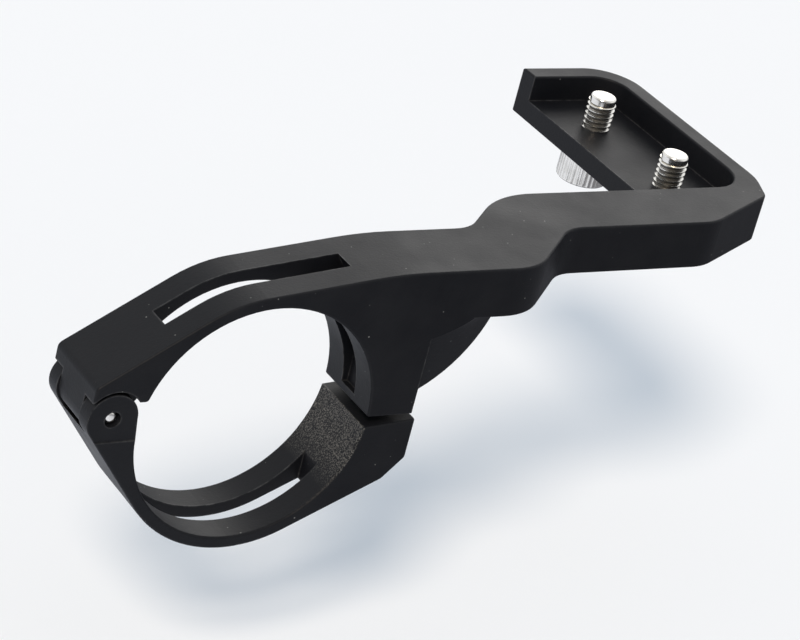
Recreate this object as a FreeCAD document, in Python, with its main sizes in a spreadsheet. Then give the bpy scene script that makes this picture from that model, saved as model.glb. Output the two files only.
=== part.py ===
import FreeCAD, Part
import math
import os
import re

import Sketcher
from FreeCAD import Vector

# E-bike display mount: a hinged handlebar ring whose upper half carries a cranked arm,
# and at the arm's end an open tray with two upright screws for a display.
# The origin is the centre of the bar, halfway across the ring. X runs along the arm,
# Y along the bar and Z up. All sizes are in millimetres and degrees.

# Driving sizes
SIZES = {
    # handlebar ring
    "bar_diameter": 31.8,
    "clamp_width": 11,
    "ring_wall": 1.6,
    "near_slope": 32,
    "far_slope": 7.5,
    "shoulder_round": 60,
    "closing_gap": 1.5,
    # hinge
    "pin_offset": 3.6,
    "pin_height": 2.2,
    "pin_diameter": 2,
    "pin_inset": 0.6,
    "pin_press_gap": 0.01,
    "pin_running_gap": 0.05,
    "pin_chamfer": 0.4,
    "knuckle_width": 6.1,
    "knuckle_radius": 3,
    "knuckle_gap": 0.5,
    "ear_radius": 3.3,
    "ear_side_gap": 0.1,
    "ear_relief": 0.5,
    "ear_step": 0.15,
    "ear_step_drop": 3,
    "tip_height": 3.4,
    "cheek_height": 4.3,
    "cheek_round": 0.5,
    "end_edge_round": 1,
    # slots through the ring
    "slot_width": 3.2,
    "upper_slot_left": 13.1,
    "upper_slot_right": 10.1,
    "post_pocket_floor": 0.9,
    "post_pocket_reach": 0.8,
    "post_pocket_bend": 5.6,
    "post_pocket_peak": 8.5,
    "post_pocket_peak_reach": 2.3,
    "lower_slot_left": 13.4,
    "lower_slot_right": 13.1,
    # post and boss that the clamp screw draws together
    "post_thickness": 6.4,
    "post_foot": 0.2,
    "boss_reach": 7.4,
    "boss_height": 4.7,
    "boss_slope": 26,
    "boss_chamfer_run": 2.9,
    "boss_corner_round": 0.6,
    "boss_rise": 0.7,
    "clamp_screw_offset": 3.7,
    "clamp_screw_diameter": 3,
    "clamp_screw_length": 10,
    "clamp_screw_head_diameter": 5.5,
    "clamp_screw_head_height": 3,
    "clamp_screw_socket_width": 2.5,
    "clamp_screw_socket_depth": 1.5,
    "clamp_screw_chamfer": 0.4,
    "clamp_screw_back_off": 4.4,
    "clamp_screw_seat_gap": 0.02,
    "boss_floor": 2.8,
    "boss_hole_diameter": 3.4,
    "counterbore_diameter": 6.2,
    # threaded insert in the post
    "insert_lead_in": 1.9,
    "insert_diameter": 4.2,
    "insert_length": 4,
    "insert_bore": 3.1,
    "insert_groove_width": 0.8,
    "insert_groove_depth": 0.25,
    "insert_hole_gap": 0.02,
    "insert_end_gap": 0.3,
    # arm
    "arm_cover": 3.85,
    "arm_height": 6.75,
    "arm_far_front": 4.06,
    "arm_far_width": 9.8,
    "bend_angle": 42,
    "bend_front_start": 35.9,
    "bend_back_start": 32.1,
    "bend_front_in_round": 9,
    "bend_front_out_round": 6,
    "bend_back_in_round": 6,
    "bend_back_out_round": 14,
    # rib under the arm
    "rib_width": 5,
    "rib_reach": 10.9,
    "rib_foot_gap": 0.5,
    "rib_bulge_radius": 18.8,
    "rib_root_reach": 5.5,
    "rib_root_drop": 2.5,
    # display tray
    "tray_start": 69.5,
    "tray_depth": 13.8,
    "tray_length": 34.1,
    "tray_wall": 2.9,
    "tray_end_wall": 3.05,
    "tray_floor": 3,
    "tray_outer_round": 6.5,
    "tray_inner_round": 4,
    "tray_heel_round": 5.5,
    "tray_inside_corner_round": 1.5,
    "nose_start": 70.5,
    "nose_start_round": 8,
    "nose_slope": 26.4,
    "nose_inset": 2.2,
    "nose_corner_round": 2.5,
    "nose_side_end": 16,
    "nose_side_round": 8,
    # display screws
    "stud_offset": 6,
    "stud_first": 7.5,
    "stud_spacing": 18,
    "stud_diameter": 4,
    "stud_engaged_diameter": 3.54,
    "stud_length": 8,
    "stud_head_diameter": 7.4,
    "stud_head_height": 5,
    "stud_socket_width": 3,
    "stud_socket_depth": 2.2,
    "stud_chamfer": 0.5,
    "stud_hole_gap": 0.05,
    "stud_floor_gap": 0.02,
    # small rounding of the moulded edges
    "edge_round": 0.3,
    # how far a cut or a joining piece runs past the face it meets, and how near counts as there
    "overlap": 1,
    "nearness": 0.01,
    # the least turn, in degrees, that makes an edge sharp
    "sharpness": 20,
}

# Places that follow from the driving sizes
PLACES = {
    "bore_radius": "bar_diameter / 2",
    "half_width": "clamp_width / 2",
    "ring_radius": "bore_radius + ring_wall",
    "pin_x": "-(bore_radius + pin_offset)",
    "end_x": "pin_x - knuckle_radius",
    "end_top": "(ring_radius + end_x * sin(near_slope)) / cos(near_slope)",
    "relief_radius": "ear_radius + ear_relief",
    "knuckle_cut_radius": "knuckle_radius + knuckle_gap",
    "knuckle_cut_width": "knuckle_width + 2 * ear_side_gap",
    "tip_x": "-sqrt(bore_radius ^ 2 - tip_height ^ 2)",
    "cheek_x": "-sqrt(bore_radius ^ 2 - cheek_height ^ 2)",
    "cheek_relief_x": "pin_x + sqrt(relief_radius ^ 2 - (cheek_height - pin_height) ^ 2)",
    "arm_top": "bore_radius + arm_cover",
    "arm_bottom": "arm_top - arm_height",
    "slope_end": "(arm_top * cos(far_slope) - ring_radius) / sin(far_slope)",
    "shoulder_run": "shoulder_round * tan(far_slope / 2)",
    "post_face": "bore_radius + post_thickness",
    "arm_root": "(slope_end + shoulder_run + post_face) / 2",
    "post_bottom": "-post_foot",
    "post_inner_x": "sqrt(bore_radius ^ 2 - post_foot ^ 2)",
    "post_pocket_x": "bore_radius + post_pocket_reach",
    "post_pocket_peak_x": "bore_radius + post_pocket_peak_reach",
    "boss_top": "post_bottom - closing_gap",
    "boss_inner_x": "sqrt(bore_radius ^ 2 - boss_top ^ 2)",
    "boss_face": "bore_radius + boss_reach",
    "boss_corner": "boss_face - boss_chamfer_run",
    "boss_corner_z": "(boss_corner * sin(boss_slope) - ring_radius) / cos(boss_slope)",
    "pin_distance": "sqrt(pin_x ^ 2 + pin_height ^ 2)",
    "ear_lean": "acos((ring_radius - ear_radius) / pin_distance) + atan(pin_height / pin_x)",
    "ear_ledge": "pin_height - ear_step_drop",
    "ear_root_x": "-sqrt(bore_radius ^ 2 - ear_ledge ^ 2)",
    "screw_x": "bore_radius + clamp_screw_offset",
    "screw_seat": "boss_top - boss_floor",
    "screw_rest": "screw_seat - clamp_screw_seat_gap - clamp_screw_back_off",
    "insert_bottom": "post_bottom + insert_lead_in",
    "insert_hole_depth": "insert_lead_in + insert_length + insert_end_gap",
    "arm_far_back": "arm_far_front + arm_far_width",
    "bend_front_end": "bend_front_start + (arm_far_front + half_width) / tan(bend_angle)",
    "bend_back_end": "bend_back_start + (arm_far_back - half_width) / tan(bend_angle)",
    "tray_inner": "tray_start + tray_depth",
    "tray_outer": "tray_inner + tray_wall",
    "tray_end": "arm_far_back + tray_length",
    "tray_outer_end": "tray_end + tray_end_wall",
    "tray_floor_top": "arm_bottom + tray_floor",
    "nose_x": "tray_outer - nose_inset",
    "nose_y": "arm_far_front + (nose_x - nose_start) * tan(nose_slope)",
    "stud_x": "tray_start + stud_offset",
    "stud_y": "arm_far_back + stud_first",
}

doc = FreeCAD.newDocument("display_mount")


def make_sheets():
    """One sheet for the driving sizes and one for the places worked out from them."""
    sizes = doc.addObject("Spreadsheet::Sheet", "sizes")
    for row, (name, number) in enumerate(SIZES.items(), 1):
        sizes.set(f"A{row}", name)
        sizes.set(f"B{row}", str(number))
        sizes.setAlias(f"B{row}", name)
    doc.recompute()
    places = doc.addObject("Spreadsheet::Sheet", "places")
    for row, (name, formula) in enumerate(PLACES.items(), 1):
        places.set(f"A{row}", name)
        places.set(f"B{row}", "=" + link(formula))
        places.setAlias(f"B{row}", name)
    doc.recompute()
    return places


def link(text):
    """Puts each size or place in a formula under the sheet that holds it."""

    def owner(word):
        if word[0] in SIZES:
            return "sizes." + word[0]
        if word[0] in PLACES:
            return "places." + word[0]
        return word[0]

    return re.sub(r"[a-z_]+", owner, text)


sheet = make_sheets()


def number(text):
    """The present value of a formula."""
    return float(sheet.evalExpression(link(text)))


def origin_plane(body, role):
    return next(item for item in body.Origin.OriginFeatures if item.Role == role)


def make_sketch(body, name, role, lift="0"):
    """An empty sketch on an origin plane, lifted along that plane's normal."""
    sketch = body.newObject("Sketcher::SketchObject", name)
    sketch.AttachmentSupport = [(origin_plane(body, role), "")]
    sketch.MapMode = "FlatFace"
    sketch.setExpression("AttachmentOffset.Base.z", link(lift))
    return sketch


def pin_point(sketch, index, position, across, up):
    """Fixes one point of a sketch by its two distances from the origin."""
    for kind, text in (("DistanceX", across), ("DistanceY", up)):
        rule = Sketcher.Constraint(kind, -1, 1, index, position, number(text))
        place = sketch.addConstraint(rule)
        sketch.setExpression(f"Constraints[{place}]", link(text))


def fix_radius(sketch, index, radius):
    place = sketch.addConstraint(Sketcher.Constraint("Radius", index, number(radius)))
    sketch.setExpression(f"Constraints[{place}]", link(radius))


def arc_between(start, end, radius, side):
    """The shorter arc from start to end, with its centre on the left (1) or the right (-1)."""
    chord = end - start
    reach = math.sqrt(max(radius ** 2 - (chord.Length / 2) ** 2, 0))
    centre = (start + end) / 2 + Vector(-chord.y, chord.x, 0).normalize() * reach * side
    first, last = (start, end) if side > 0 else (end, start)
    angles = [math.atan2(spot.y - centre.y, spot.x - centre.x) for spot in (first, last)]
    return Part.ArcOfCircle(Part.Circle(centre, Vector(0, 0, 1), radius), *angles)


def draw_outline(body, name, role, corners, lift="0"):
    """A closed sketch. Each corner is (across, up), and with a radius and a side as well
    where the edge that leaves it is an arc."""
    sketch = make_sketch(body, name, role, lift)
    spots = [Vector(number(corner[0]), number(corner[1]), 0) for corner in corners]
    ends = []
    for index, corner in enumerate(corners):
        start = spots[index]
        end = spots[(index + 1) % len(spots)]
        if len(corner) == 2:
            sketch.addGeometry(Part.LineSegment(start, end), False)
            ends.append((1, 2))
        else:
            sketch.addGeometry(arc_between(start, end, number(corner[2]), corner[3]), False)
            ends.append((1, 2) if corner[3] > 0 else (2, 1))
    for index, corner in enumerate(corners):
        after = (index + 1) % len(corners)
        sketch.addConstraint(Sketcher.Constraint("Coincident", index, ends[index][1], after, ends[after][0]))
        pin_point(sketch, index, ends[index][0], corner[0], corner[1])
        if len(corner) > 2:
            fix_radius(sketch, index, corner[2])
    return sketch


def draw_circles(body, name, role, circles, lift="0"):
    """A sketch of circles, each (across, up, radius)."""
    sketch = make_sketch(body, name, role, lift)
    for index, (across, up, radius) in enumerate(circles):
        centre = Vector(number(across), number(up), 0)
        sketch.addGeometry(Part.Circle(centre, Vector(0, 0, 1), number(radius)), False)
        pin_point(sketch, index, 3, across, up)
        fix_radius(sketch, index, radius)
    return sketch


def new_feature(body, kind, name):
    """A feature that leaves the faces it joins as they are, so that parting lines stay."""
    feature = body.newObject("PartDesign::" + kind, name)
    feature.Refine = False
    return feature


def pad(body, sketch, length, both_ways=False, backward=False):
    """Material from a sketch: along its normal, against it, or half to each side of it."""
    feature = new_feature(body, "Pad", sketch.Name + "_pad")
    feature.Profile = sketch
    feature.SideType = "Symmetric" if both_ways else "One side"
    feature.Reversed = backward
    feature.setExpression("Length", link(length))
    doc.recompute()
    return feature


def pad_from_parting_line(body, sketch):
    """The ring's section, moulded to each side of the parting line round its middle."""
    pad(body, sketch, "half_width")
    pad(body, sketch, "half_width", backward=True)


def pocket(body, sketch, length, both_ways=False, forward=False):
    """A cut from a sketch: against its normal, along it, or half to each side of it."""
    before = body.Shape.Volume
    feature = new_feature(body, "Pocket", sketch.Name + "_pocket")
    feature.Profile = sketch
    feature.SideType = "Symmetric" if both_ways else "One side"
    feature.Reversed = forward
    feature.setExpression("Length", link(length))
    doc.recompute()
    if not feature.Shape.Volume < before:
        raise RuntimeError(feature.Name + " cuts nothing")
    return feature


def mirror(body, feature, role):
    """The same feature on the other side of an origin plane."""
    copy = new_feature(body, "Mirrored", feature.Name + "_mirrored")
    copy.Originals = [feature]
    copy.MirrorPlane = (origin_plane(body, role), [""])
    body.Tip = copy
    doc.recompute()
    return copy


def middle(edge):
    return edge.valueAt((edge.FirstParameter + edge.LastParameter) / 2)


def is_sharp(shape, edge):
    """Whether the faces beside an edge meet at an angle, and not as one surface."""
    normals = []
    for face in shape.ancestorsOfType(edge, Part.Face):
        normals.append(face.normalAt(*face.Surface.parameter(middle(edge))))
    return len(normals) == 2 and normals[0].getAngle(normals[1]) > math.radians(number("sharpness"))


def round_edges(body, name, radius, chosen):
    """Rounds every sharp edge of the body that the rule picks."""
    base = body.Tip
    names = []
    for place, edge in enumerate(base.Shape.Edges, 1):
        if chosen(edge) and is_sharp(base.Shape, edge):
            names.append(f"Edge{place}")
    if not names:
        raise RuntimeError(name + " finds no edge")
    feature = new_feature(body, "Fillet", name)
    feature.Base = (base, names)
    feature.setExpression("Radius", link(radius))
    doc.recompute()
    return feature


def upright_at(*spots):
    """Picks the upright edges through the spots, each (x, y)."""
    wanted = [Vector(number(x), number(y), 0) for x, y in spots]

    def chosen(edge):
        box = edge.BoundBox
        foot = Vector(box.Center.x, box.Center.y, 0)
        is_upright = max(box.XLength, box.YLength) < number("nearness")
        return is_upright and any((foot - spot).Length < number("nearness") for spot in wanted)

    return chosen


def is_side_edge(edge):
    """Whether an edge lies in the ring's front or back face."""
    box = edge.BoundBox
    off_face = abs(abs(box.Center.y) - number("half_width"))
    return max(box.YLength, off_face) < number("nearness")


def is_at(value, place):
    return abs(value - number(place)) < number("nearness")


def new_body(name):
    body = doc.addObject("PartDesign::Body", name)
    body.Label = name
    return body


def place_body(body, **spot):
    for axis, text in spot.items():
        body.setExpression("Placement.Base." + axis, link(text))


def make_mount_arm():
    """Upper ring half, post, rib, arm and tray, moulded in one."""
    body = new_body("mount_arm")
    add_upper_ring(body)
    add_arm_and_tray(body)
    add_rib(body)
    cut_upper_slot(body)
    cut_arm_holes(body)
    soften_arm(body)
    return body


def add_upper_ring(body):
    """The ring's upper half with its post, and the centre knuckle between two ear reliefs."""
    ring = draw_outline(body, "upper_ring", "XZ_Plane", [
        ("post_inner_x", "post_bottom"),
        ("post_face", "post_bottom"),
        ("post_face", "arm_top"),
        ("slope_end + shoulder_run", "arm_top", "shoulder_round", 1),
        ("slope_end - shoulder_run * cos(far_slope)", "arm_top - shoulder_run * sin(far_slope)"),
        ("-ring_radius * sin(far_slope)", "ring_radius * cos(far_slope)", "ring_radius", 1),
        ("-ring_radius * sin(near_slope)", "ring_radius * cos(near_slope)"),
        ("end_x", "end_top"),
        ("end_x", "pin_height", "knuckle_radius", 1),
        ("pin_x", "pin_height - knuckle_radius", "knuckle_radius", 1),
        ("pin_x + knuckle_radius", "pin_height"),
        ("tip_x", "tip_height", "bore_radius", -1),
        ("0", "bore_radius", "bore_radius", -1),
    ])
    pad_from_parting_line(body, ring)

    def on_end_edge(edge):
        spot = edge.BoundBox.Center
        return is_at(spot.x, "end_x") and is_at(spot.z, "end_top")

    round_edges(body, "end_edge", "end_edge_round", on_end_edge)
    relief = draw_outline(body, "ear_relief_side", "XZ_Plane", [
        ("cheek_relief_x", "cheek_height", "relief_radius", 1),
        ("pin_x", "pin_height + relief_radius", "relief_radius", 1),
        ("pin_x - relief_radius", "pin_height", "relief_radius", 1),
        ("pin_x", "pin_height - relief_radius"),
        ("tip_x + overlap", "pin_height - relief_radius"),
        ("tip_x + overlap", "cheek_height"),
    ], lift="half_width")
    cut = pocket(body, relief, "(clamp_width - knuckle_width) / 2")
    mirror(body, cut, "XZ_Plane")

    def on_cheek(edge):
        spot = edge.BoundBox.Center
        return is_at(spot.x, "cheek_x") and is_at(spot.z, "cheek_height")

    round_edges(body, "cheeks", "cheek_round", on_cheek)


def add_arm_and_tray(body):
    """The arm's crank and the tray's outline seen from above, then the tray's recess."""
    plan = draw_outline(body, "arm_plan", "XY_Plane", [
        ("arm_root", "-half_width"),
        ("bend_front_start", "-half_width"),
        ("bend_front_end", "arm_far_front"),
        ("nose_start", "arm_far_front"),
        ("nose_x", "nose_y"),
        ("tray_outer", "nose_side_end"),
        ("tray_outer", "tray_outer_end"),
        ("tray_start", "tray_outer_end"),
        ("tray_start", "arm_far_back"),
        ("bend_back_end", "arm_far_back"),
        ("bend_back_start", "half_width"),
        ("arm_root", "half_width"),
    ], lift="arm_bottom")
    pad(body, plan, "arm_height")
    corners = {
        "bend_front_in_round": ("bend_front_start", "-half_width"),
        "bend_front_out_round": ("bend_front_end", "arm_far_front"),
        "bend_back_in_round": ("bend_back_start", "half_width"),
        "bend_back_out_round": ("bend_back_end", "arm_far_back"),
        "nose_start_round": ("nose_start", "arm_far_front"),
        "nose_corner_round": ("nose_x", "nose_y"),
        "nose_side_round": ("tray_outer", "nose_side_end"),
        "tray_outer_round": ("tray_outer", "tray_outer_end"),
        "tray_inside_corner_round": ("tray_start", "arm_far_back"),
    }
    for radius, spot in corners.items():
        round_edges(body, radius + "_edge", radius, upright_at(spot))

    def under_arm(edge):
        box = edge.BoundBox
        is_low = is_at(box.ZMin, "arm_bottom") and is_at(box.ZMax, "arm_bottom")
        return is_low and middle(edge).x > number("post_face + nearness")

    round_edges(body, "under_edges", "edge_round", under_arm)
    recess = draw_outline(body, "tray_recess", "XY_Plane", [
        ("tray_start - tray_inside_corner_round - overlap", "arm_far_back"),
        ("tray_inner", "arm_far_back"),
        ("tray_inner", "tray_end"),
        ("tray_start - tray_inside_corner_round - overlap", "tray_end"),
    ], lift="arm_top")
    pocket(body, recess, "arm_height - tray_floor")
    round_edges(body, "tray_heel", "tray_heel_round", upright_at(("tray_inner", "arm_far_back")))
    round_edges(body, "tray_corner", "tray_inner_round", upright_at(("tray_inner", "tray_end")))


def add_rib(body):
    """The rib between post and arm: flush at its root and thinner towards its free edge."""

    def section(name, lift, reach, foot):
        return draw_outline(body, name, "XZ_Plane", [
            ("post_face - overlap", foot),
            ("post_face", foot, "rib_bulge_radius", 1),
            ("post_face + " + reach, "arm_bottom"),
            ("post_face + " + reach, "arm_bottom + overlap"),
            ("post_face - overlap", "arm_bottom + overlap"),
        ], lift)

    root = ("rib_root_reach", "arm_bottom - rib_root_drop")
    edge = ("rib_reach", "post_bottom + rib_foot_gap")
    sections = [
        section("rib_front", "half_width", *root),
        section("rib_front_edge", "rib_width / 2", *edge),
        section("rib_back_edge", "-rib_width / 2", *edge),
        section("rib_back", "-half_width", *root),
    ]
    rib = new_feature(body, "AdditiveLoft", "rib")
    rib.Profile = sections[0]
    rib.Sections = sections[1:]
    rib.Ruled = True
    doc.recompute()


def cut_upper_slot(body):
    """The slot through the ring's top, which runs on as a pocket in the post's inner face."""
    slot = draw_outline(body, "upper_slot", "XZ_Plane", [
        ("-upper_slot_left", "post_pocket_floor"),
        ("post_pocket_x", "post_pocket_floor"),
        ("post_pocket_x", "post_pocket_bend"),
        ("post_pocket_peak_x", "post_pocket_peak"),
        ("upper_slot_right", "arm_top"),
        ("upper_slot_right", "arm_top + overlap"),
        ("-upper_slot_left", "arm_top + overlap"),
    ])
    pocket(body, slot, "slot_width", both_ways=True)


def cut_arm_holes(body):
    """The pin's hole, the threaded insert's hole in the post, and the display screws' holes."""
    pin_hole = draw_circles(
        body, "knuckle_hole", "XZ_Plane", [("pin_x", "pin_height", "pin_diameter / 2 + pin_press_gap")])
    pocket(body, pin_hole, "knuckle_width + overlap", both_ways=True)
    insert_hole = draw_circles(
        body, "insert_hole", "XY_Plane", [("screw_x", "0", "insert_diameter / 2 + insert_hole_gap")],
        lift="post_bottom")
    pocket(body, insert_hole, "insert_hole_depth", forward=True)
    radius = "stud_engaged_diameter / 2 + stud_hole_gap"
    stud_holes = draw_circles(body, "stud_holes", "XY_Plane", [
        ("stud_x", "stud_y", radius),
        ("stud_x", "stud_y + stud_spacing", radius),
    ], lift="tray_floor_top")
    pocket(body, stud_holes, "tray_floor")


def soften_arm(body):
    """Rounds the edges that show: the rims of arm and tray, and both sides of the ring and post."""

    def on_rim(edge):
        spot = middle(edge)
        if edge.BoundBox.ZMin > number("arm_top - nearness"):
            return True
        is_outer = math.hypot(spot.x, spot.z) > number("ring_radius - nearness")
        pin_reach = math.hypot(spot.x - number("pin_x"), spot.z - number("pin_height"))
        clears_ear = pin_reach > number("relief_radius + nearness")
        return is_side_edge(edge) and spot.x < number("slope_end + shoulder_run") and is_outer and clears_ear

    def on_mouth(edge):
        spot = middle(edge)
        on_bore = is_at(math.hypot(spot.x, spot.z), "bore_radius")
        return is_side_edge(edge) and (on_bore or is_at(spot.z, "post_bottom"))

    round_edges(body, "rim_edges", "edge_round", on_rim)
    round_edges(body, "mouth_edges", "edge_round", on_mouth)


def make_lower_clamp():
    """Lower ring half: two ears on the pin, a thin band and the boss for the clamp screw."""
    body = new_body("lower_clamp")
    ear_x = "pin_x - ear_radius * cos(ear_lean)"
    ear_z = "pin_height - ear_radius * sin(ear_lean)"
    band = draw_outline(body, "lower_ring", "XZ_Plane", [
        (ear_x, ear_z),
        ("-ring_radius * cos(ear_lean)", "-ring_radius * sin(ear_lean)", "ring_radius", 1),
        ("ring_radius * sin(boss_slope)", "-ring_radius * cos(boss_slope)"),
        ("boss_corner", "boss_corner_z"),
        ("boss_face", "boss_top - boss_height"),
        ("boss_face", "boss_top + boss_rise"),
        ("boss_inner_x", "boss_top", "bore_radius", -1),
        ("0", "-bore_radius", "bore_radius", -1),
        ("ear_root_x", "ear_ledge"),
        ("pin_x + ear_radius", "pin_height", "ear_radius", 1),
        ("pin_x", "pin_height + ear_radius", "ear_radius", 1),
        ("pin_x - ear_radius", "pin_height", "ear_radius", 1),
    ])
    pad_from_parting_line(body, band)
    boss_edges = upright_at(("boss_face", "half_width"), ("boss_face", "-half_width"))
    round_edges(body, "boss_corners", "boss_corner_round", boss_edges)
    round_edges(body, "side_edges", "edge_round", is_side_edge)
    knuckle = draw_circles(
        body, "knuckle_space", "XZ_Plane", [("pin_x", "pin_height", "knuckle_cut_radius")])
    pocket(body, knuckle, "knuckle_cut_width", both_ways=True)
    step = draw_outline(body, "ear_face", "XZ_Plane", [
        ("end_x - overlap", "ear_ledge"),
        ("ear_root_x + overlap", "ear_ledge"),
        ("ear_root_x + overlap", "pin_height + ear_radius + overlap"),
        ("end_x - overlap", "pin_height + ear_radius + overlap"),
    ], lift="half_width")
    mirror(body, pocket(body, step, "ear_step"), "XZ_Plane")
    pin_hole = draw_circles(
        body, "ear_hole", "XZ_Plane", [("pin_x", "pin_height", "pin_diameter / 2 + pin_running_gap")])
    pocket(body, pin_hole, "clamp_width", both_ways=True)
    slot = draw_outline(body, "lower_slot", "XY_Plane", [
        ("-lower_slot_left", "-slot_width / 2"),
        ("lower_slot_right", "-slot_width / 2"),
        ("lower_slot_right", "slot_width / 2"),
        ("-lower_slot_left", "slot_width / 2"),
    ])
    pocket(body, slot, "ring_radius + overlap")
    screw_hole = draw_circles(
        body, "screw_hole", "XY_Plane", [("screw_x", "0", "boss_hole_diameter / 2")],
        lift="boss_top + boss_rise")
    pocket(body, screw_hole, "ring_radius")
    counterbore = draw_circles(
        body, "counterbore", "XY_Plane", [("screw_x", "0", "counterbore_diameter / 2")], lift="screw_seat")
    pocket(body, counterbore, "ring_radius")
    return body


def make_hinge_pin():
    """Plain steel pin, pressed into the knuckle and running in the ears."""
    body = new_body("hinge_pin")
    circle = draw_circles(body, "pin_section", "XZ_Plane", [("pin_x", "pin_height", "pin_diameter / 2")])
    bar = pad(body, circle, "clamp_width - 2 * pin_inset", both_ways=True)
    chamfer = new_feature(body, "Chamfer", "pin_ends")
    ends = [f"Edge{place}" for place, edge in enumerate(bar.Shape.Edges, 1) if edge.isClosed()]
    chamfer.Base = (bar, ends)
    chamfer.setExpression("Size", link("pin_chamfer"))
    doc.recompute()
    return body


def turn(body, sketch):
    """A solid turned about the sketch's upright axis."""
    feature = new_feature(body, "Revolution", sketch.Name + "_turned")
    feature.Profile = sketch
    feature.ReferenceAxis = (sketch, ["V_Axis"])
    doc.recompute()
    return feature


def make_cap_screw(name, kind, neck):
    """A socket cap screw standing on its head, with the origin under the head's bearing face.
    The neck is the thread that its own hole hides, drawn at its mean size."""
    body = new_body(name)
    profile = draw_outline(body, name + "_profile", "XZ_Plane", [
        ("0", f"-{kind}_head_height"),
        (f"{kind}_head_diameter / 2 - {kind}_chamfer", f"-{kind}_head_height"),
        (f"{kind}_head_diameter / 2", f"{kind}_chamfer - {kind}_head_height"),
        (f"{kind}_head_diameter / 2", "0"),
        *neck,
        (f"{kind}_diameter / 2", f"{kind}_length - {kind}_chamfer"),
        (f"{kind}_diameter / 2 - {kind}_chamfer", f"{kind}_length"),
        ("0", f"{kind}_length"),
    ])
    turn(body, profile)
    corner = f"{kind}_socket_width / sqrt(3)"
    socket = draw_outline(body, name + "_socket", "XY_Plane", [
        (f"{corner} * cos({angle})", f"{corner} * sin({angle})") for angle in range(0, 360, 60)
    ], lift=f"-{kind}_head_height")
    pocket(body, socket, f"{kind}_socket_depth", forward=True)
    return body


def make_clamp_screw():
    """The clamp screw, backed off so that the ring can open."""
    body = make_cap_screw("clamp_screw", "clamp_screw", [("clamp_screw_diameter / 2", "0")])
    place_body(body, x="screw_x", z="screw_rest")
    return body


def make_clamp_insert():
    """Brass threaded insert, with a groove around its middle that the plastic grips."""
    body = new_body("clamp_insert")
    outside = "insert_diameter / 2"
    inside = "insert_bore / 2"
    groove = "insert_diameter / 2 - insert_groove_depth"
    profile = draw_outline(body, "insert_profile", "XZ_Plane", [
        (inside, "0"),
        (outside, "0"),
        (outside, "(insert_length - insert_groove_width) / 2"),
        (groove, "(insert_length - insert_groove_width) / 2"),
        (groove, "(insert_length + insert_groove_width) / 2"),
        (outside, "(insert_length + insert_groove_width) / 2"),
        (outside, "insert_length"),
        (inside, "insert_length"),
    ])
    turn(body, profile)
    place_body(body, x="screw_x", z="insert_bottom")
    return body


def make_display_screws():
    """Two screws that stand up through the tray floor, their heads below it."""
    group = doc.addObject("Part::Compound", "display_screws")
    group.Label = "display_screws"
    engaged = [
        ("stud_engaged_diameter / 2", "0"),
        ("stud_engaged_diameter / 2", "tray_floor + stud_floor_gap"),
        ("stud_diameter / 2", "tray_floor + stud_floor_gap"),
    ]
    near = make_cap_screw("near_display_screw", "stud", engaged)
    place_body(near, x="stud_x", y="stud_y", z="arm_bottom")
    far = make_cap_screw("far_display_screw", "stud", engaged)
    place_body(far, x="stud_x", y="stud_y + stud_spacing", z="arm_bottom")
    group.Links = [near, far]
    doc.recompute()
    return group


nodes = [
    make_mount_arm(),
    make_lower_clamp(),
    make_hinge_pin(),
    make_clamp_screw(),
    make_clamp_insert(),
    make_display_screws(),
]
doc.recompute()

for item in doc.Objects:
    if "Invalid" in item.State or "Error" in item.State:
        raise RuntimeError(item.Name + " failed to build")
os.makedirs("parts", exist_ok=True)
for node in nodes:
    if node.Shape.isNull() or not node.Shape.isValid():
        raise RuntimeError(node.Label + " has no sound shape")
    node.Shape.exportStep(f"parts/{node.Label}.step")
    print(node.Label, len(node.Shape.Solids), "solids", round(node.Shape.Volume, 1), "mm3")
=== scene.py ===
# %% [markdown]
# # An e-bike display mount
#
# The real thing is a black moulded clamp for a 31.8 mm handlebar. Its upper half runs on as a
# cranked arm with an open tray at the end, and two steel screws stand up in the tray to hold a
# display. The main shapes come from a solid model, which loads here as a fixed frame. Blender
# adds what a solid model leaves out: screw threads, knurling and the finish of each surface.

# %% Load the solid model
import math

import bmesh
import bpy
from mathutils import Matrix, Quaternion, Vector


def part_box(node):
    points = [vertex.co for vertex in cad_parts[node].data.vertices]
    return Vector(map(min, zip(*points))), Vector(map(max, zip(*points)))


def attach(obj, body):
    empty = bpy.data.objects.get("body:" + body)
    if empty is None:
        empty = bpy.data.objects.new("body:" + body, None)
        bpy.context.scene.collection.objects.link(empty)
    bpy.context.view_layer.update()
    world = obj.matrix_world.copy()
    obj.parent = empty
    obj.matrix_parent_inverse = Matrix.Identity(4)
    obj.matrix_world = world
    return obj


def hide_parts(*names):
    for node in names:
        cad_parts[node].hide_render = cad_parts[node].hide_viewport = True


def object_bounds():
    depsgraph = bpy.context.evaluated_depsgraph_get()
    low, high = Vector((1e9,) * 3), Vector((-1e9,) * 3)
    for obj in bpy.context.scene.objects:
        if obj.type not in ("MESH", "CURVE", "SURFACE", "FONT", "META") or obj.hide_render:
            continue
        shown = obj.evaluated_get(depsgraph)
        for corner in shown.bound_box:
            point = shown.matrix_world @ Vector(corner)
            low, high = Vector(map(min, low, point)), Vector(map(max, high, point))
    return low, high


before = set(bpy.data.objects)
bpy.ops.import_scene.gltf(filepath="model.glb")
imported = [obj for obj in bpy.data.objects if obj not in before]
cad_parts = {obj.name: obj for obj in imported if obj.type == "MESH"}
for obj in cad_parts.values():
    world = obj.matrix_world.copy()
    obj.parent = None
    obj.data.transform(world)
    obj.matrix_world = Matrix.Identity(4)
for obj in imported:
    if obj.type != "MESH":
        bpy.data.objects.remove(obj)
solid_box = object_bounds()
print("solid model:", sorted(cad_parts))

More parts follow.
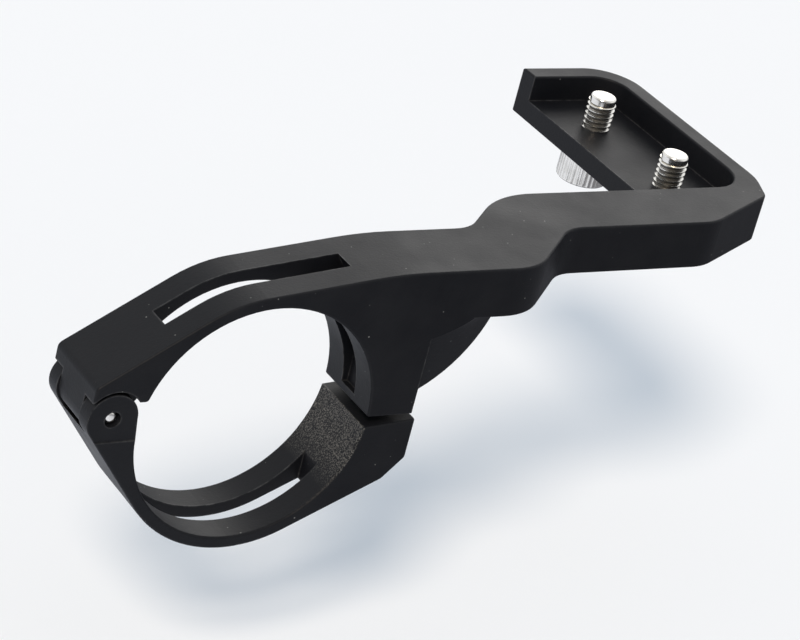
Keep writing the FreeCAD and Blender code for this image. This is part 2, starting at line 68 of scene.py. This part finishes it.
# %% [markdown]
# ## Camera
#
# A long lens keeps the arm's edges nearly parallel, as they are in the photograph. The mount is
# tilted there, as it comes to rest when it is put down on its ring and its screw heads. Here it
# stays level, so the camera is rolled by the same angle instead, and the view comes out the same.

# %% Place the camera
def place_camera(spot, sight, roll, focal_length):
    """A camera at a spot, looking along a line of sight and rolled about it by some degrees."""
    lens = bpy.data.cameras.new("camera")
    lens.lens = focal_length
    lens.sensor_width = 36
    camera = bpy.data.objects.new("camera", lens)
    camera.location = spot
    camera.rotation_mode = "QUATERNION"
    level = Vector(sight).to_track_quat("-Z", "Y")
    camera.rotation_quaternion = level @ Quaternion((0, 0, 1), math.radians(roll))
    bpy.context.collection.objects.link(camera)
    bpy.context.scene.camera = camera
    return camera


SIGHT = (0.54304, 0.71646, -0.43794)
camera = place_camera((-0.17923, -0.26421, 0.17163), SIGHT, roll=14.92, focal_length=135)
bpy.context.scene.view_settings.view_transform = "Standard"
print("camera", round(camera.location.length, 3), "m from the ring")

# %% [markdown]
# ## Building node trees
#
# Every finish is a tree of shader nodes. Making a node, setting it and wiring its inputs takes
# a few lines each time, so one helper does all three: an input is given either a value or the
# socket that feeds it. Three more cover what the finishes here do most: a sum, a change of
# range and a mix of two colours.

# %% Node helpers
def add_node(tree, kind, inputs=None, **settings):
    """A new node with its settings, and its inputs set to values or wired to other sockets."""
    node = tree.nodes.new(kind)
    for name, value in settings.items():
        setattr(node, name, value)
    for name, value in (inputs or {}).items():
        if isinstance(value, bpy.types.NodeSocket):
            tree.links.new(value, node.inputs[name])
        else:
            node.inputs[name].default_value = value
    return node


def calculate(tree, operation, *values):
    """The result of one sum on numbers or sockets."""
    return add_node(tree, "ShaderNodeMath", dict(enumerate(values)), operation=operation).outputs[0]


def spread(tree, value, low, high, to_low=0.0, to_high=1.0):
    """Maps a value from one range to another and clamps it there."""
    return add_node(tree, "ShaderNodeMapRange", {
        "Value": value, "From Min": low, "From Max": high, "To Min": to_low, "To Max": to_high,
    }).outputs[0]


def blend_colours(tree, share, first, second):
    """A mix of two colours, each given as a socket or as red, green and blue."""
    mix = add_node(tree, "ShaderNodeMix", {"Factor": share}, data_type="RGBA")
    for socket, colour in ((mix.inputs[6], first), (mix.inputs[7], second)):
        if isinstance(colour, bpy.types.NodeSocket):
            tree.links.new(colour, socket)
        else:
            socket.default_value = (*colour, 1)
    return mix.outputs[2]


print("node helpers ready")

# %% [markdown]
# ## Materials and groups
#
# A material starts with one Principled shader, its output, and the Object coordinates that its
# patterns are laid out on. Grain, rubbed edges and turning marks are effects that several
# finishes share, so each is a node group with named sockets, built once and placed wherever it
# is wanted.

# %% Material and group helpers
def start_material(name):
    """A material with its output and shader: also gives the shader's inputs and coordinates."""
    material = bpy.data.materials.new(name)
    material.use_nodes = True
    tree = material.node_tree
    tree.nodes.clear()
    shader = add_node(tree, "ShaderNodeBsdfPrincipled")
    add_node(tree, "ShaderNodeOutputMaterial", {"Surface": shader.outputs[0]})
    return material, tree, shader.inputs, add_node(tree, "ShaderNodeTexCoord").outputs["Object"]


def start_group(name, inputs, outputs):
    """A node group with a Vector input, number inputs (name and default) and number outputs."""
    group = bpy.data.node_groups.new(name, "ShaderNodeTree")
    group.interface.new_socket("Vector", in_out="INPUT", socket_type="NodeSocketVector")
    for label, default in inputs.items():
        socket = group.interface.new_socket(label, in_out="INPUT", socket_type="NodeSocketFloat")
        socket.default_value = default
    for label in outputs:
        group.interface.new_socket(label, in_out="OUTPUT", socket_type="NodeSocketFloat")
    given = group.nodes.new("NodeGroupInput").outputs
    return group, given, group.nodes.new("NodeGroupOutput").inputs


def use_group(tree, group, coordinates):
    """A group placed in a tree: gives its outputs."""
    node = add_node(tree, "ShaderNodeGroup", node_tree=group)
    tree.links.new(coordinates, node.inputs["Vector"])
    return node.outputs


print("material helpers ready")

# %% [markdown]
# ## Floor
#
# The background is a plain pale floor. It lies low enough that the open clamp clears it, and it
# is clear when it is seen from below, so that the screw heads can be looked at from there. Black
# plastic shows little but what it mirrors, and a white floor on every side would turn it grey.
# So reflections see the floor as in a studio with a dark end: pale by the ring, and dark under
# the arm. The Light Path node tells a mirrored ray from a direct one.

# %% Floor
MM = 0.001
FLOOR_DROP = 26 * MM


def make_floor_material():
    material, tree, shader, coordinates = start_material("pale_floor")
    mottle = add_node(tree, "ShaderNodeTexNoise", {
        "Vector": coordinates, "Scale": 6.0, "Detail": 3.0}).outputs[0]
    plain = blend_colours(tree, mottle, (0.90, 0.90, 0.905), (0.925, 0.925, 0.925))
    along = add_node(tree, "ShaderNodeSeparateXYZ", {"Vector": coordinates}).outputs["X"]
    to_arm = spread(tree, along, 0.0, 80 * MM)
    dimmed = blend_colours(tree, to_arm, (0.84, 0.86, 0.92), (0.22, 0.22, 0.24))
    mirrored = add_node(tree, "ShaderNodeLightPath").outputs["Is Glossy Ray"]
    tree.links.new(blend_colours(tree, mirrored, plain, dimmed), shader["Base Color"])
    shader["Roughness"].default_value = 0.7
    shader["Specular IOR Level"].default_value = 0.0
    below = add_node(tree, "ShaderNodeNewGeometry").outputs["Backfacing"]
    surface = add_node(tree, "ShaderNodeMixShader", {
        0: below,
        1: tree.nodes["Principled BSDF"].outputs[0],
        2: add_node(tree, "ShaderNodeBsdfTransparent").outputs[0]})
    tree.links.new(surface.outputs[0], tree.nodes["Material Output"].inputs["Surface"])
    return material


def make_floor():
    form = bmesh.new()
    bmesh.ops.create_circle(form, cap_ends=True, segments=96, radius=6)
    bmesh.ops.translate(form, verts=form.verts, vec=(0, 0, solid_box[0].z - FLOOR_DROP))
    mesh = bpy.data.meshes.new("floor")
    form.to_mesh(mesh)
    form.free()
    mesh.materials.append(make_floor_material())
    floor = bpy.data.objects.new("floor", mesh)
    bpy.context.collection.objects.link(floor)
    return floor


floor = make_floor()
print("floor at", round(floor.data.vertices[0].co.z / MM, 1), "mm")

# %% [markdown]
# ## Light
#
# The light is soft: a cool sky all round, a warm lamp beside the camera that lays the arm's
# shadow on the floor, and a wide one behind the mount, which puts a sheen on the faces that look
# up. Area lamps near the mount would leave bright pools on the floor, so both lamps are suns,
# which light it evenly. The sky is shown paler than it lights, so that it joins the floor, and
# in reflections its side behind the camera is dark.

# %% Light
def make_sky(light, shown, dark_side):
    """A sky that lights with one colour and is shown as another, with a dark side in reflections."""
    world = bpy.data.worlds.new("sky")
    world.use_nodes = True
    tree = world.node_tree
    tree.nodes.clear()
    path = add_node(tree, "ShaderNodeLightPath").outputs
    direction = add_node(tree, "ShaderNodeTexCoord").outputs["Generated"]
    away = Vector((SIGHT[0], SIGHT[1], 0)).normalized()
    facing = add_node(tree, "ShaderNodeVectorMath", {0: direction, 1: away}, operation="DOT_PRODUCT")
    ahead = spread(tree, facing.outputs["Value"], -0.9, 0.0)
    mirrored = blend_colours(tree, ahead, dark_side, shown)
    colour = blend_colours(tree, path["Is Glossy Ray"], light, mirrored)
    seen = calculate(tree, "MAXIMUM", path["Is Camera Ray"], path["Is Transmission Ray"])
    sky = add_node(tree, "ShaderNodeBackground", {"Color": blend_colours(tree, seen, colour, shown)})
    add_node(tree, "ShaderNodeOutputWorld", {"Surface": sky.outputs[0]})
    bpy.context.scene.world = world


def make_far_lamp(name, side, width, strength, colour):
    """A lamp far away on one side, as wide in the sky as an angle in degrees."""
    lamp = bpy.data.lights.new(name, "SUN")
    lamp.angle = math.radians(width)
    lamp.energy = strength
    lamp.color = colour
    holder = bpy.data.objects.new(name, lamp)
    holder.rotation_mode = "QUATERNION"
    holder.rotation_quaternion = Vector(side).to_track_quat("Z", "Y")
    bpy.context.collection.objects.link(holder)


make_sky(light=(0.49, 0.56, 0.64), shown=(0.93, 0.945, 0.965), dark_side=(0.16, 0.16, 0.17))
make_far_lamp("front_lamp", (-0.65, -0.64, 0.85), 14, 2.02, (1.0, 0.88, 0.75))
make_far_lamp("back_lamp", (0.69, 0.83, 0.62), 36, 0.58, (1.0, 0.97, 0.93))
print("lights:", [item.name for item in bpy.data.lights])

# %% [markdown]
# ## Moulded skin, rubbed edges and painted edge highlights
#
# The clamp is glass-filled nylon, moulded in a tool with a spark-eroded skin. Close up it is a
# fine pebbled grain, with slow patches that shine a little more, and pale dust in the hollows.
# The skin is a node group: one noise for the grain, a slow one for the patches, and Voronoi
# cells for the dust, where only a few cells hold a speck. Edges come from the Bevel node: where
# the rounded normal departs from the true one there is an edge. The edge mask stands for both
# rubbed wear and a painted highlight along the edges.

# %% Groups for skin and edges
def make_skin_group():
    group, given, result = start_group(
        "moulded_skin", {"Grain": 4200.0, "Dust": 1000.0}, ["Height", "Tone", "Speck"])
    grain = add_node(group, "ShaderNodeTexNoise", {
        "Vector": given["Vector"], "Scale": given["Grain"], "Detail": 2.0, "Roughness": 0.55})
    pebbles = add_node(group, "ShaderNodeTexVoronoi", {
        "Vector": given["Vector"], "Scale": calculate(group, "MULTIPLY", given["Grain"], 0.5)},
        feature="SMOOTH_F1")
    height = calculate(group, "MULTIPLY_ADD", pebbles.outputs["Distance"], -0.5, grain.outputs[0])
    group.links.new(height, result["Height"])
    patches = add_node(group, "ShaderNodeTexNoise", {
        "Vector": given["Vector"], "Scale": 120.0, "Detail": 4.0, "Roughness": 0.6})
    group.links.new(spread(group, patches.outputs[0], 0.3, 0.7), result["Tone"])
    cells = add_node(group, "ShaderNodeTexVoronoi", {
        "Vector": given["Vector"], "Scale": given["Dust"]})
    draw = add_node(group, "ShaderNodeSeparateColor", {"Color": cells.outputs["Color"]})
    reach = spread(group, draw.outputs["Red"], 0.70, 1.0, 0.0, 0.13)
    inside = calculate(group, "SUBTRACT", reach, cells.outputs["Distance"])
    group.links.new(spread(group, inside, 0.0, 0.04), result["Speck"])
    return group


def make_edge_group():
    group, given, result = start_group(
        "edge_wear_and_highlight", {"Radius": 0.4 * MM, "Breakup": 900.0}, ["Mask"])
    # the edge mask: rubbed wear, and a painted highlight along the edges
    rounded = add_node(group, "ShaderNodeBevel", {"Radius": given["Radius"]}, samples=6).outputs[0]
    true = add_node(group, "ShaderNodeNewGeometry").outputs["Normal"]
    match = add_node(group, "ShaderNodeVectorMath", {0: rounded, 1: true}, operation="DOT_PRODUCT")
    edge = spread(group, match.outputs["Value"], 0.98, 0.80)
    breakup = add_node(group, "ShaderNodeTexNoise", {
        "Vector": given["Vector"], "Scale": given["Breakup"], "Detail": 3.0})
    patchy = spread(group, breakup.outputs[0], 0.3, 0.65)
    group.links.new(calculate(group, "MULTIPLY", edge, patchy), result["Mask"])
    return group


moulded_skin = make_skin_group()
edge_wear_and_highlight = make_edge_group()
print("groups:", [item.name for item in bpy.data.node_groups])

# %% [markdown]
# ## Black plastic
#
# The finish puts both groups to work. Two near blacks are mixed by the slow patches, handled
# edges are a little smoother and paler, the paleness partly rubbed wear and partly a painted
# highlight, and the dust lies on top. The grain is far too fine to model, so it goes into a Bump
# node, which only tilts the light. The same recipe takes a second, coarser grain where a piece
# has a rough patch. The solid model's own nodes keep their meshes and only get the material.

# %% Black plastic
def make_black_plastic(name, grip=None):
    """The moulded black, and coarser and paler where the grip function gives a mask."""
    material, tree, shader, coordinates = start_material(name)
    skin = use_group(tree, moulded_skin, coordinates)
    wear_and_highlight_mask = use_group(tree, edge_wear_and_highlight, coordinates)["Mask"]
    colour = blend_colours(tree, skin["Tone"], (0.0052, 0.0056, 0.0074), (0.0086, 0.0090, 0.0108))
    # edges painted paler: partly rubbed wear, partly a painted highlight
    colour = blend_colours(tree, calculate(tree, "MULTIPLY", wear_and_highlight_mask, 0.6), colour, (0.10, 0.10, 0.10))
    colour = blend_colours(tree, skin["Speck"], colour, (0.14, 0.14, 0.135))
    height = skin["Height"]
    if grip:
        coarse, mask = grip(tree, coordinates)
        pale = calculate(tree, "MULTIPLY", spread(tree, coarse, 0.45, 0.85), mask)
        colour = blend_colours(tree, pale, colour, (0.22, 0.21, 0.19))
        grains = calculate(tree, "MULTIPLY", coarse, mask)
        height = calculate(tree, "MULTIPLY_ADD", grains, 4.0, height)
    tree.links.new(colour, shader["Base Color"])
    rough = spread(tree, skin["Tone"], 0.0, 1.0, 0.42, 0.52)
    rough = calculate(tree, "SUBTRACT", rough, calculate(tree, "MULTIPLY", wear_and_highlight_mask, 0.12))
    tree.links.new(rough, shader["Roughness"])
    bump = add_node(tree, "ShaderNodeBump", {
        "Height": height, "Strength": 0.5, "Distance": 0.03 * MM})
    tree.links.new(bump.outputs[0], shader["Normal"])
    shader["Specular IOR Level"].default_value = 0.15
    return material


def dress(node, material):
    """Gives a node of the solid model a material in all its slots."""
    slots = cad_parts[node].data.materials
    if not slots:
        slots.append(material)
    for place in range(len(slots)):
        slots[place] = material


dress("mount_arm", make_black_plastic("black_plastic"))
print("plastic on mount_arm")

# %% [markdown]
# ## Rough patch in the lower clamp
#
# The lower clamp's inner face is left rough beside the boss, where the two halves pinch the
# bar. A mask picks that patch by its place: on the bore's radius, and on the boss's side of the
# slot. A coarse noise then raises pale grains inside the mask.

# %% Grip patch
def bore_grip(tree, coordinates):
    """A coarse grain, and a mask for the bore's surface near the boss."""
    place = add_node(tree, "ShaderNodeSeparateXYZ", {"Vector": coordinates}).outputs
    upright = calculate(tree, "MULTIPLY", place["Z"], place["Z"])
    reach = calculate(tree, "SQRT", calculate(
        tree, "MULTIPLY_ADD", place["X"], place["X"], upright))
    on_bore = spread(tree, reach, 16.0 * MM, 16.15 * MM, 1.0, 0.0)
    by_boss = spread(tree, place["X"], 12.0 * MM, 14.5 * MM)
    coarse = add_node(tree, "ShaderNodeTexNoise", {
        "Vector": coordinates, "Scale": 5600.0, "Detail": 2.0})
    return coarse.outputs[0], calculate(tree, "MULTIPLY", on_bore, by_boss)


dress("lower_clamp", make_black_plastic("clamp_plastic", bore_grip))
print("plastic on lower_clamp")

# %% [markdown]
# ## Turning marks
#
# The screws, the pin and the insert are turned on a lathe, which leaves fine rings round the
# axis. A noise that is squeezed along the upright axis gives such rings. A second, slower noise
# stains the metal a little. Both metals use them, so they are a group.

# %% Group for turning marks
def make_turning_group():
    group, given, result = start_group("turning_marks", {"Fineness": 9000.0}, ["Height", "Tone"])
    squeezed = add_node(group, "ShaderNodeVectorMath", {
        0: given["Vector"], 1: (0.05, 0.05, 1.0)}, operation="MULTIPLY").outputs[0]
    rings = add_node(group, "ShaderNodeTexNoise", {
        "Vector": squeezed, "Scale": given["Fineness"], "Detail": 2.0})
    stains = add_node(group, "ShaderNodeTexNoise", {
        "Vector": given["Vector"], "Scale": 700.0, "Detail": 4.0})
    group.links.new(rings.outputs[0], result["Height"])
    group.links.new(spread(group, stains.outputs[0], 0.35, 0.7), result["Tone"])
    return group


turning_marks = make_turning_group()
print("group:", turning_marks.name)

# %% [markdown]
# ## Steel and brass
#
# The screws and the pin are bright steel and the insert is brass. A thread's roots and the
# valleys between a knurl's ridges are darker, partly from oil and dirt and partly as painted shade
# in the recesses. Each screw carries that as an attribute, set while it is modelled, and the metal
# is darker and duller where it is high. A piece without the attribute reads as clean.

# %% Steel and brass
def make_metal(name, bright, dull, roughness):
    """A turned metal, darker where the piece's groove attribute is high: dirt and painted shade."""
    material, tree, shader, coordinates = start_material(name)
    marks = use_group(tree, turning_marks, coordinates)
    groove = add_node(tree, "ShaderNodeAttribute", attribute_name="groove").outputs["Fac"]
    # darker, duller roots and knurl valleys: partly oil and dirt, partly painted shade in the
    # recesses
    dirt_and_shade = spread(tree, groove, 0.5, 1.0)
    colour = blend_colours(tree, marks["Tone"], bright, dull)
    soiled_and_shaded = calculate(tree, "MULTIPLY", dirt_and_shade, 0.85)
    tree.links.new(blend_colours(tree, soiled_and_shaded, colour, (0.03, 0.028, 0.025)), shader["Base Color"])
    rough = spread(tree, marks["Tone"], 0.0, 1.0, roughness, roughness + 0.12)
    tree.links.new(calculate(tree, "MULTIPLY_ADD", dirt_and_shade, 0.25, rough), shader["Roughness"])
    bump = add_node(tree, "ShaderNodeBump", {
        "Height": marks["Height"], "Strength": 0.15, "Distance": 0.01 * MM})
    tree.links.new(bump.outputs[0], shader["Normal"])
    shader["Metallic"].default_value = 1.0
    return material


steel = make_metal("turned_steel", (0.92, 0.895, 0.84), (0.80, 0.775, 0.72), 0.18)
dress("clamp_insert", make_metal("turned_brass", (0.78, 0.56, 0.24), (0.55, 0.38, 0.15), 0.26))
print("brass on clamp_insert")

# %% [markdown]
# ## Thread
#
# A thread is one tooth's profile carried round and up at once. A curve with a bevel could do
# it, but the spin operator does it in one go when it gets a step along its axis too, and the
# turns meet because each climbs by the profile's own height. Spare turns at both ends are cut
# off square, and the cuts are closed.

# %% Thread
TURN_STEPS = 40
SPARE_TURNS = 2
# one tooth: how far out from root to crest, and how far up the pitch
TOOTH = ((0, 0), (0, 0.125), (1, 0.4375), (1, 0.5625), (0, 0.875), (0, 1))


def add_thread(form, groove, crest, root, pitch, foot, top):
    """A closed threaded bar, alone in its form, with its roots marked in the groove layer."""
    start = foot - SPARE_TURNS * pitch
    verts = [
        form.verts.new((root + out * (crest - root), 0, start + up * pitch)) for out, up in TOOTH]
    edges = [form.edges.new(pair) for pair in zip(verts, verts[1:])]
    turns = math.ceil((top - foot) / pitch) + SPARE_TURNS + 1
    bmesh.ops.spin(
        form, geom=verts + edges, cent=(0, 0, 0), axis=(0, 0, 1),
        dvec=(0, 0, pitch / TURN_STEPS), angle=math.tau * turns, steps=TURN_STEPS * turns)
    bmesh.ops.remove_doubles(form, verts=form.verts, dist=pitch / 1000)
    for height, side in ((foot, -1), (top, 1)):
        bmesh.ops.bisect_plane(
            form, geom=[*form.verts, *form.edges, *form.faces], plane_co=(0, 0, height),
            plane_no=(0, 0, side), clear_outer=True)
    bmesh.ops.dissolve_degenerate(form, edges=form.edges, dist=pitch / 1000)
    bmesh.ops.holes_fill(form, edges=[edge for edge in form.edges if edge.is_boundary], sides=0)
    for vert in form.verts:
        vert[groove] = max(0, min(1, (crest - vert.co.xy.length) / (crest - root)))


print("thread:", TURN_STEPS, "steps in a turn")

# %% [markdown]
# ## Plain bars
#
# A screw's tip, the neck under its thread and the pin are plain round bars. The cone operator
# makes a cylinder when both its radii are the same, and a bevel rounds the upper rim.

# %% Bar
BAR_SIDES = 48


def add_bar(form, radius, low, high, rounding=0):
    """A plain round bar from low to high, with its upper rim rounded."""
    before = set(form.edges)
    middle = (low + high) / 2
    bmesh.ops.create_cone(
        form, cap_ends=True, segments=BAR_SIDES, radius1=radius, radius2=radius, depth=high - low,
        matrix=Matrix.Translation((0, 0, middle)))
    if rounding:
        rim = [
            edge for edge in form.edges
            if edge not in before and min(vert.co.z for vert in edge.verts) > middle]
        bmesh.ops.bevel(
            form, geom=rim, offset=rounding, offset_type="OFFSET", segments=5, profile=0.5,
            affect="EDGES", material=-1)


print("bars:", BAR_SIDES, "sides")

# %% [markdown]
# ## Head
#
# The head of a socket cap screw is knurled, so that it can be started by hand, and has a
# six-sided socket for a key. Here it is a cylinder whose rims are bevelled and whose every other
# side edge is pulled in a little for the knurl. Its end face is inset, the new edge is drawn to
# six sides, and the face inside is pushed in for the socket. That keeps the head one closed
# shell, which a boolean cut would do less neatly.

# %% Head
HEAD_SIDES = 72
# how dark the knurl's valleys are painted: dirt, and painted shade between the ridges
VALLEY_DIRT_AND_SHADE = 0.7


def add_head(form, groove, radius, height, chamfer, knurl, socket_width, socket_depth):
    """A knurled head below the origin, with a six-sided socket in its lower end."""
    before = set(form.verts)
    bmesh.ops.create_cone(
        form, cap_ends=True, segments=HEAD_SIDES, radius1=radius, radius2=radius, depth=height,
        matrix=Matrix.Translation((0, 0, -height / 2)))
    rims = [
        edge for edge in form.edges
        if edge.verts[0] not in before and edge.verts[0].co.z == edge.verts[1].co.z]
    bmesh.ops.bevel(
        form, geom=rims, offset=chamfer, offset_type="OFFSET", segments=3, profile=0.5,
        affect="EDGES", material=-1)
    own = [vert for vert in form.verts if vert not in before]
    wall = [vert for vert in own if math.isclose(vert.co.xy.length, radius, rel_tol=1e-4)]
    valley = [
        vert for vert in wall
        if round(math.atan2(vert.co.y, vert.co.x) / math.tau * HEAD_SIDES) % 2]
    bmesh.ops.scale(form, vec=(1 - knurl / radius, 1 - knurl / radius, 1), verts=valley)
    for vert in valley:
        vert[groove] = VALLEY_DIRT_AND_SHADE
    end = min(form.faces, key=lambda face: face.calc_center_median().z)
    bmesh.ops.inset_individual(form, faces=[end], thickness=chamfer)
    for vert in end.verts:
        from_side = math.atan2(vert.co.y, vert.co.x) % (math.tau / 6) - math.tau / 12
        vert.co.xy = vert.co.xy.normalized() * socket_width / 2 / math.cos(from_side)
    bottom = bmesh.ops.extrude_discrete_faces(form, faces=[end])["faces"][0]
    bmesh.ops.translate(form, vec=(0, 0, socket_depth), verts=bottom.verts)


print("heads:", HEAD_SIDES // 2, "ridges")

# %% [markdown]
# ## A whole screw
#
# A screw is a thread, a tip, a neck where its thread stops short, and a head, each a closed
# shell that reaches a little into the next. It is modelled in millimetres, because the operators
# merge and cut more safely there than in thousandths of a metre. A finished piece has its faces
# turned outwards, and is smooth except along its sharp edges.

# %% Screw
TIP_SINK = 0.2
NECK_SINK = 0.3
SHARP = math.radians(28)


def make_screw(thread, tip, head, neck_radius=None):
    """A screw in millimetres on its head, with the origin under the head's bearing face."""
    form = bmesh.new()
    groove = form.verts.layers.float.new("groove")
    add_thread(form, groove, **thread)
    add_bar(form, low=thread["top"] - TIP_SINK, **tip)
    if neck_radius:
        add_bar(form, neck_radius, -NECK_SINK, thread["foot"] + NECK_SINK)
    add_head(form, groove, **head)
    return form


def finish_piece(form, name, material):
    """Points the faces outwards, smooths all but the sharp edges, and makes the object."""
    bmesh.ops.recalc_face_normals(form, faces=form.faces)
    for face in form.faces:
        face.smooth = True
    for edge in form.edges:
        edge.smooth = edge.is_manifold and edge.calc_face_angle() < SHARP
    mesh = bpy.data.meshes.new(name)
    form.to_mesh(mesh)
    form.free()
    mesh.materials.append(material)
    piece = bpy.data.objects.new(name, mesh)
    bpy.context.collection.objects.link(piece)
    print(name, len(mesh.polygons), "faces")
    return piece


print("screw helpers ready")

# %% [markdown]
# ## Display screws
#
# Two M4 screws stand up through the tray's floor, with their heads below it. They are alike, so
# one is modelled and then copied across. Where the screw passes through the floor it is a plain
# neck, which stays clear of the hole's wall. The solid model's plain screws give the place and
# stay hidden behind this piece.

# %% Display screws
STUD_THREAD = {"crest": 2, "root": 1.57, "pitch": 0.7, "foot": 3.02, "top": 7.1}
STUD_TIP = {"radius": 1.86, "high": 8, "rounding": 0.4}
STUD_NECK_RADIUS = 1.77
STUD_HEAD = {
    "radius": 3.7, "height": 5, "chamfer": 0.4, "knurl": 0.16,
    "socket_width": 3, "socket_depth": 2.2}


def make_display_screws():
    low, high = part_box("display_screws")
    form = make_screw(STUD_THREAD, STUD_TIP, STUD_HEAD, STUD_NECK_RADIUS)
    reach = STUD_HEAD["radius"] * MM
    spot = Vector(((low.x + high.x) / 2, low.y + reach, low.z + STUD_HEAD["height"] * MM))
    place = Matrix.Translation(spot) @ Matrix.Scale(MM, 4)
    bmesh.ops.transform(form, matrix=place, verts=form.verts)
    second = bmesh.ops.duplicate(form, geom=[*form.verts, *form.edges, *form.faces])["geom"]
    copied = [part for part in second if isinstance(part, bmesh.types.BMVert)]
    bmesh.ops.translate(form, vec=(0, high.y - reach - spot.y, 0), verts=copied)
    return finish_piece(form, "display_screw_pair", steel)


display_screw_pair = make_display_screws()
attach(display_screw_pair, "arm")
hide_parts("display_screws")

# %% [markdown]
# ## Clamp screw
#
# An M3 screw draws the boss of the lower clamp up to the post. It is the same kind of screw with
# its thread right up to the head, so the same helper makes it from other sizes. It travels along
# its axis as it is tightened, so it rides on its own body.

# %% Clamp screw
CLAMP_THREAD = {"crest": 1.5, "root": 1.19, "pitch": 0.5, "foot": -0.2, "top": 9.4}
CLAMP_TIP = {"radius": 1.4, "high": 10, "rounding": 0.3}
CLAMP_HEAD = {
    "radius": 2.75, "height": 3, "chamfer": 0.3, "knurl": 0.11,
    "socket_width": 2.5, "socket_depth": 1.5}


def make_clamp_screw():
    low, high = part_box("clamp_screw")
    form = make_screw(CLAMP_THREAD, CLAMP_TIP, CLAMP_HEAD)
    head_top = low.z + CLAMP_HEAD["height"] * MM
    spot = Vector(((low.x + high.x) / 2, (low.y + high.y) / 2, head_top))
    place = Matrix.Translation(spot) @ Matrix.Scale(MM, 4)
    bmesh.ops.transform(form, matrix=place, verts=form.verts)
    return finish_piece(form, "clamp_cap_screw", steel)


clamp_cap_screw = make_clamp_screw()
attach(clamp_cap_screw, "clamp_screw")
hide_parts("clamp_screw")

# %% [markdown]
# ## Hinge pin
#
# The pin is a short cut of steel rod, pressed into the knuckle. Tumbling leaves its ends domed,
# and the dome is what catches the light deep in the ear's hole. Half of it is the plain bar
# again, with its rim rounded by most of its radius. A mirror makes the other half, and the whole
# is laid along the hinge.

# %% Pin
PIN_RADIUS = 1.0
PIN_ROUNDING = 0.7


def make_pin():
    low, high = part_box("hinge_pin")
    half = (high.y - low.y) / 2 / MM
    form = bmesh.new()
    add_bar(form, PIN_RADIUS, 0, half, PIN_ROUNDING)
    foot = [face for face in form.faces if face.calc_center_median().z == 0]
    bmesh.ops.delete(form, geom=foot, context="FACES_ONLY")
    bmesh.ops.mirror(form, geom=[*form.verts, *form.edges, *form.faces], axis="Z", merge_dist=0.001)
    lay_down = Matrix.Rotation(math.radians(90), 4, "X")
    place = Matrix.Translation((low + high) / 2) @ lay_down @ Matrix.Scale(MM, 4)
    bmesh.ops.transform(form, matrix=place, verts=form.verts)
    return finish_piece(form, "domed_pin", steel)


domed_pin = make_pin()
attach(domed_pin, "arm")
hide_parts("hinge_pin")

# %% [markdown]
# ## Size
#
# Nothing added here may make the mount larger than its solid model.

# %% Finish
print("finished")
